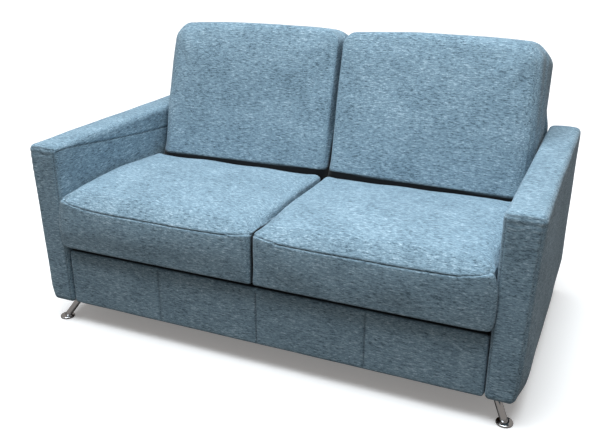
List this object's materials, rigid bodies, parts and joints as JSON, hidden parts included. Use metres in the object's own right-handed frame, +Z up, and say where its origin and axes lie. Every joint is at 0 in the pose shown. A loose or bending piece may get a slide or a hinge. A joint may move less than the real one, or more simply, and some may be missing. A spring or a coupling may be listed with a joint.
{
  "type": "two-seat sofa bed",
  "caption": "Upholstered sofa bed with flat arms, box cushions and slanted metal feet; its seat turns over forwards and its back folds down into a bed.",
  "frame": {"origin": "on the floor, under the middle of the sofa's bounding box, with the bed closed", "axes": "+Z up, -Y to the front of the seat, +X to the right seen from the front"},
  "size_m": [1.6392, 0.975, 0.9572],
  "materials": {
    "upholstery": "heathered blue-grey melange weave",
    "timber": "planed softwood",
    "board": "particle board and hardboard",
    "chrome": "polished",
    "coated_steel": "black powder coat",
    "zinc_steel": "zinc plated",
    "ticking": "quilted off-white mattress ticking",
    "rubber": "matte"
  },
  "bodies": {
    "base": {"left_arm_cover": "upholstery", "right_arm_cover": "upholstery", "left_arm_frame": "timber", "right_arm_frame": "timber", "front_bolt_left": "zinc_steel", "front_bolt_right": "zinc_steel", "rear_bolt_left": "zinc_steel", "rear_bolt_right": "zinc_steel", "front_panel_cover": "upholstery", "front_panel_board": "board", "rear_panel_cover": "upholstery", "rear_panel_frame": "timber", "base_board": "board", "front_beam": "coated_steel", "rear_beam": "coated_steel", "side_plate_left": "coated_steel", "side_plate_right": "coated_steel", "front_foot_tube_left": "chrome", "front_foot_tube_right": "chrome", "rear_foot_tube_left": "chrome", "rear_foot_tube_right": "chrome", "front_foot_disc_left": "chrome", "front_foot_disc_right": "chrome", "rear_foot_disc_left": "chrome", "rear_foot_disc_right": "chrome"},
    "front_cranks": {"front_crank_left": "zinc_steel", "front_crank_right": "zinc_steel"},
    "rear_cranks": {"rear_crank_left": "zinc_steel", "rear_crank_right": "zinc_steel"},
    "head_section": {"head_frame": "coated_steel", "head_mesh": "zinc_steel", "head_mattress": "ticking", "front_hinge_pin_left": "zinc_steel", "front_hinge_pin_right": "zinc_steel"},
    "seat_section": {"seat_frame": "coated_steel", "seat_mesh": "zinc_steel", "seat_mattress": "ticking", "seat_cushion_left": "upholstery", "seat_cushion_right": "upholstery"},
    "back_section": {"back_frame": "coated_steel", "back_mesh": "zinc_steel", "back_mattress": "ticking", "rear_hinge_pin_left": "zinc_steel", "rear_hinge_pin_right": "zinc_steel", "back_cushion_left": "upholstery", "back_cushion_right": "upholstery"},
    "left_swing_leg": {"bed_leg_left": "coated_steel", "bed_leg_pad_left": "rubber"},
    "right_swing_leg": {"bed_leg_right": "coated_steel", "bed_leg_pad_right": "rubber"}
  },
  "joints": [
    {"name": "front_crank_swing", "type": "hinge", "parent": "base", "child": "front_cranks", "pos_m": [0, -0.34559, 0.19285], "axis": [1, 0, 0], "range_deg": [0, 130.6]},
    {"name": "rear_crank_swing", "type": "hinge", "parent": "base", "child": "rear_cranks", "pos_m": [0, 0.02441, 0.19285], "axis": [1, 0, 0], "range_deg": [0, 130.6]},
    {"name": "head_level", "type": "hinge", "parent": "front_cranks", "child": "head_section", "pos_m": [0, -0.2, 0.1265], "axis": [1, 0, 0], "range_deg": [-130.6, 0]},
    {"name": "seat_turn", "type": "hinge", "parent": "head_section", "child": "seat_section", "pos_m": [0, -0.41, 0.2066], "axis": [1, 0, 0], "range_deg": [0, 180]},
    {"name": "back_fold", "type": "hinge", "parent": "seat_section", "child": "back_section", "pos_m": [0, 0.236, 0.2867], "axis": [1, 0, 0], "range_deg": [-80, 0]},
    {"name": "left_leg_swing", "type": "hinge", "parent": "back_section", "child": "left_swing_leg", "pos_m": [-0.56, 0.22318, 0.37527], "axis": [0, 0.1736, 0.9848], "range_deg": [-90, 0]},
    {"name": "right_leg_swing", "type": "hinge", "parent": "back_section", "child": "right_swing_leg", "pos_m": [0.56, 0.22318, 0.37527], "axis": [0, 0.1736, 0.9848], "range_deg": [0, 90]}
  ],
  "couplings": [
    {"joint": "front_crank_swing", "follows": "seat_turn", "ratio": 0.72555},
    {"joint": "rear_crank_swing", "follows": "seat_turn", "ratio": 0.72555},
    {"joint": "head_level", "follows": "seat_turn", "ratio": -0.72555},
    {"joint": "back_fold", "follows": "seat_turn", "ratio": -0.44444},
    {"joint": "left_leg_swing", "follows": "seat_turn", "ratio": -0.5},
    {"joint": "right_leg_swing", "follows": "seat_turn", "ratio": 0.5}
  ]
}
